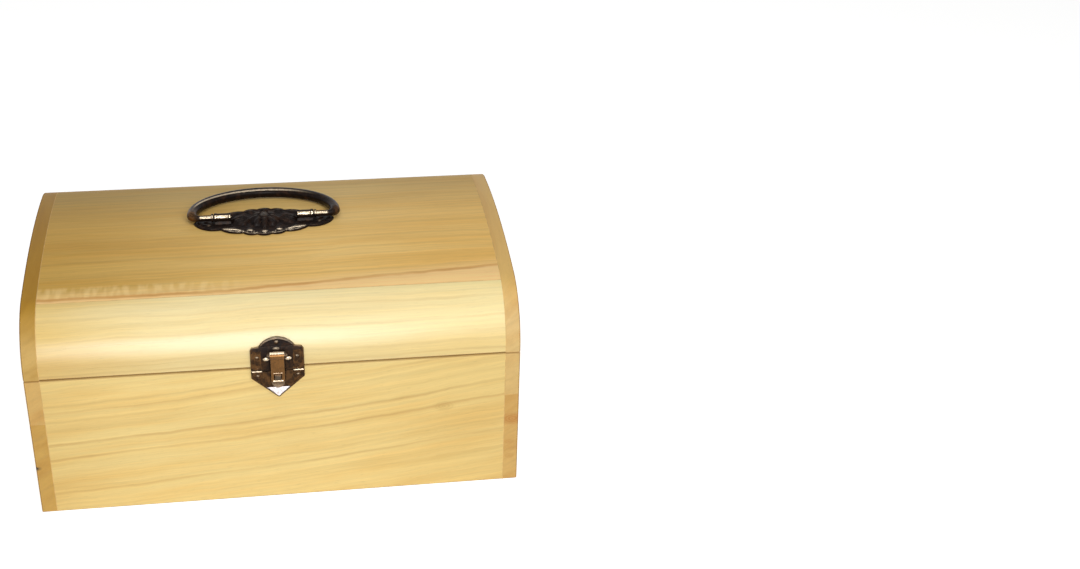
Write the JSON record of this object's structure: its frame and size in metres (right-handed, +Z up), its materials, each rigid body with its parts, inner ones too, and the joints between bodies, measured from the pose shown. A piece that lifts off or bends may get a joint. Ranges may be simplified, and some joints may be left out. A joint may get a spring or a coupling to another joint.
{
  "type": "jewelry box",
  "caption": "Straight-sided wooden box with a rounded lid hinged at the back, a bronze hasp with a swinging lever on the front and a bronze drop handle on the lid",
  "frame": {"origin": "middle of the underside of the closed box, hasp and hinges included, on the plane it stands on", "axes": "+X along the box to the viewer's right, the hasp faces -Y, +Z up"},
  "size_m": [0.265, 0.1872, 0.132],
  "materials": {
    "board_wood": "pale honey softwood, satin varnish",
    "lid_wood": "slightly browner softwood, satin varnish",
    "end_wood": "golden softwood, satin varnish",
    "panel_wood": "bare softwood",
    "bronze": "dark antique bronze, edges rubbed bright"
  },
  "bodies": {
    "box": {"front_board": "board_wood", "back_board": "board_wood", "left_end_lower": "end_wood", "left_end_upper": "end_wood", "right_end_lower": "end_wood", "right_end_upper": "end_wood", "bottom_panel": "panel_wood", "left_hinge_body_leaf": "bronze", "left_hinge_pin": "bronze", "left_hinge_body_screw_1": "bronze", "left_hinge_body_screw_2": "bronze", "right_hinge_body_leaf": "bronze", "right_hinge_pin": "bronze", "right_hinge_body_screw_1": "bronze", "right_hinge_body_screw_2": "bronze", "hasp_catch_plate": "bronze", "hasp_catch_brad_1": "bronze", "hasp_catch_brad_2": "bronze"},
    "lid": {"lid_left_end": "end_wood", "lid_right_end": "end_wood", "lid_front_shoulder": "board_wood", "lid_top_board": "lid_wood", "lid_back_shoulder": "board_wood", "left_hinge_lid_leaf": "bronze", "left_hinge_lid_screw_1": "bronze", "left_hinge_lid_screw_2": "bronze", "right_hinge_lid_leaf": "bronze", "right_hinge_lid_screw_1": "bronze", "right_hinge_lid_screw_2": "bronze", "hasp_lid_plate": "bronze", "hasp_pin": "bronze", "hasp_lid_brad_1": "bronze", "hasp_lid_brad_2": "bronze", "hasp_lid_brad_3": "bronze", "handle_plate": "bronze", "handle_brad_1": "bronze", "handle_brad_2": "bronze", "handle_brad_3": "bronze", "handle_brad_4": "bronze"},
    "lever": {"hasp_lever": "bronze"},
    "bail": {"handle_bail": "bronze"}
  },
  "joints": [
    {"name": "lid_hinge", "type": "hinge", "parent": "box", "child": "lid", "pos_m": [0, 0.09194, 0.086], "axis": [-1, 0, 0], "range_deg": [0, 180]},
    {"name": "hasp_lever_hinge", "type": "hinge", "parent": "lid", "child": "lever", "pos_m": [0, -0.09144, 0.09532], "axis": [-1, 0, 0], "range_deg": [0, 180]},
    {"name": "handle_swing", "type": "hinge", "parent": "lid", "child": "bail", "pos_m": [-0.0032, 0.00549, 0.12937], "axis": [1, 0, 0], "range_deg": [0, 187.4]}
  ]
}
